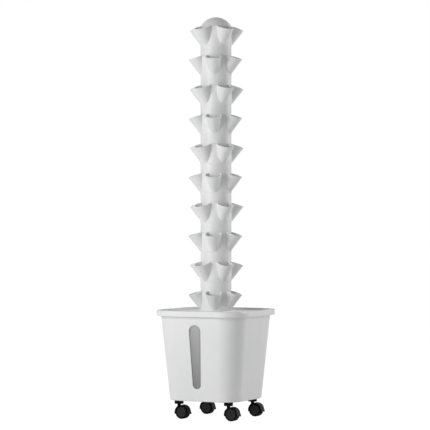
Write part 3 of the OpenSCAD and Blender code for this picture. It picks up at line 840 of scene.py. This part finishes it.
def makeMount():
    # the plate under the tank with the sleeve that goes up into it
    c, m = caster, mount
    top = m["low"] + m["thick"]
    boreR, boreTop = c["pinR"] + c["play"], c["pinTop"] + c["endGap"]
    return lathe("casterPlate", [
        (boreR, m["low"], m["boreEdgeR"]), (m["r"], m["low"], m["footEdgeR"]),
        (m["r"], top, m["topEdgeR"]), (m["sleeveR"], top, 0),
        (m["sleeveR"], top + m["sleeve"], m["topEdgeR"]), (0, top + m["sleeve"], 0),
        (0, boreTop, 0), (boreR, boreTop, 0),
    ], m["steps"])


def makeRod(name, r, low, high, edgeR):
    ends = [(0, low, 0), (r, low, edgeR), (r, high, edgeR), (0, high, 0)]
    return lathe(name, ends, caster["rodSteps"])


def makeTyre():
    # lies on its bored side, with room for the disc
    w = wheel
    wide = w["outside"] - w["inside"]
    return lathe("tyre", [
        (w["discR"], w["dish"], 0), (w["r"] - w["backRim"], 0, w["backEdgeR"]),
        (w["r"], w["tread"], w["treadR"]), (w["r"], wide - w["tread"], w["treadR"]),
        (w["r"] - w["faceRim"], wide, w["faceEdgeR"]), (w["discR"], wide, w["seamR"]),
    ], w["steps"])


def makeDisc():
    # sunk in the tyre's open side, with a shallow ring and a hub on its face
    c, w = caster, wheel
    face = w["outside"] - w["inside"] - w["recess"]
    ring = face - w["ringDeep"]
    boreR, boreEnd = c["axleR"] + c["play"], c["axleHalf"] + c["endGap"] - w["inside"]
    return lathe("wheelDisc", [
        (boreR, 0, w["boreEdgeR"]), (w["discR"], w["dish"], 0), (w["discR"], face, w["discEdgeR"]),
        (w["discR"] * w["ringOut"], face, w["ringR"]), (w["discR"] * w["ringIn"], ring, w["ringR"]),
        (w["hubFoot"], ring, w["hubFootR"]), (w["hubR"], face, w["hubEdgeR"]),
        (0, face, 0), (0, boreEnd, 0), (boreR, boreEnd, 0),
    ], w["steps"])


def makeCasters():
    c, w = caster, wheel
    hoodShape, plate = makeHood(), makeMount()
    pin = makeRod("swivelPin", c["pinR"], c["pinLow"], c["pinTop"], c["pinEdgeR"])
    axle = onAxle(makeRod("axle", c["axleR"], -c["axleHalf"], c["axleHalf"], c["axleEdgeR"]))
    tyre, disc = makeTyre(), makeDisc()
    for name, (x, y) in c["corners"].items():
        place = (x * c["at"], y * c["at"], 0)
        swivel, node = f"swivel_{name}", f"caster_hood_{name}"
        one = moved(copyOf(hoodShape, f"hood_{name}"), place)
        finishPiece(one, casterLook, "caster_plastic", swivel, node, smoothAngle=hood["smooth"])
        one = moved(copyOf(pin, f"pin_{name}"), place)
        finishPiece(one, steelLook, "steel", swivel, f"swivel_pin_{name}")
        one = moved(copyOf(axle, f"axleRod_{name}"), place)
        finishPiece(one, steelLook, "steel", swivel, f"axle_{name}")
        one = moved(copyOf(plate, f"plate_{name}"), place)
        finishPiece(one, casterLook, "caster_plastic", "tank", f"caster_plate_{name}")
        for kind, out in (("outer", 1), ("inner", -1)):
            way = out * y
            body = f"wheel_{name}_{kind}"
            hub = (place[0] + c["trail"], place[1] + way * w["inside"], c["axleZ"])
            one = moved(copyOf(tyre, f"tyre_{name}_{kind}"), hub, (-90 * way, 0, 0))
            finishPiece(one, tyreLook, "wheel_plastic", body, body)
            one = moved(copyOf(disc, f"disc_{name}_{kind}"), hub, (-90 * way, 0, 0))
            finishPiece(one, discLook, "wheel_plastic", body)
    for shape in (hoodShape, plate, pin, axle, tyre, disc):
        bpy.data.objects.remove(shape, do_unlink=True)
    print("casters:", len(c["corners"]))


makeCasters()

inside = {
    "edges": {
        "spray_disc": (whiteLook, 0.0004), "riser_tube": (tubeLook, 0.0004), "pump_body": (pumpLook, 0.0008),
        "pump_cover": (pumpLook, 0.0004), "strainer": (pumpLook, 0.0005), "impeller": (impellerLook, 0.0003),
        "impeller_shaft": (ceramicLook, 0.0003), "suction_feet": (sealLook, 0.0006),
        "cable_gland": (sealLook, 0.0005),
    },
    "weldGap": 0.00001, "steps": 2, "sharp": 40,
}


def finishNodes():
    # the parts inside the tank and the tower keep their own shapes, with their edges broken
    for name, (look, width) in inside["edges"].items():
        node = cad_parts[name]
        node.data.materials.clear()
        node.data.materials.append(look)
        weld = node.modifiers.new("weld", "WELD")
        weld.merge_threshold = inside["weldGap"]
        bevel = node.modifiers.new("edges", "BEVEL")
        bevel.width = width
        bevel.segments = inside["steps"]
        bevel.limit_method = "ANGLE"
        bevel.angle_limit = math.radians(inside["sharp"])
    print("parts inside:", len(inside["edges"]))


finishNodes()
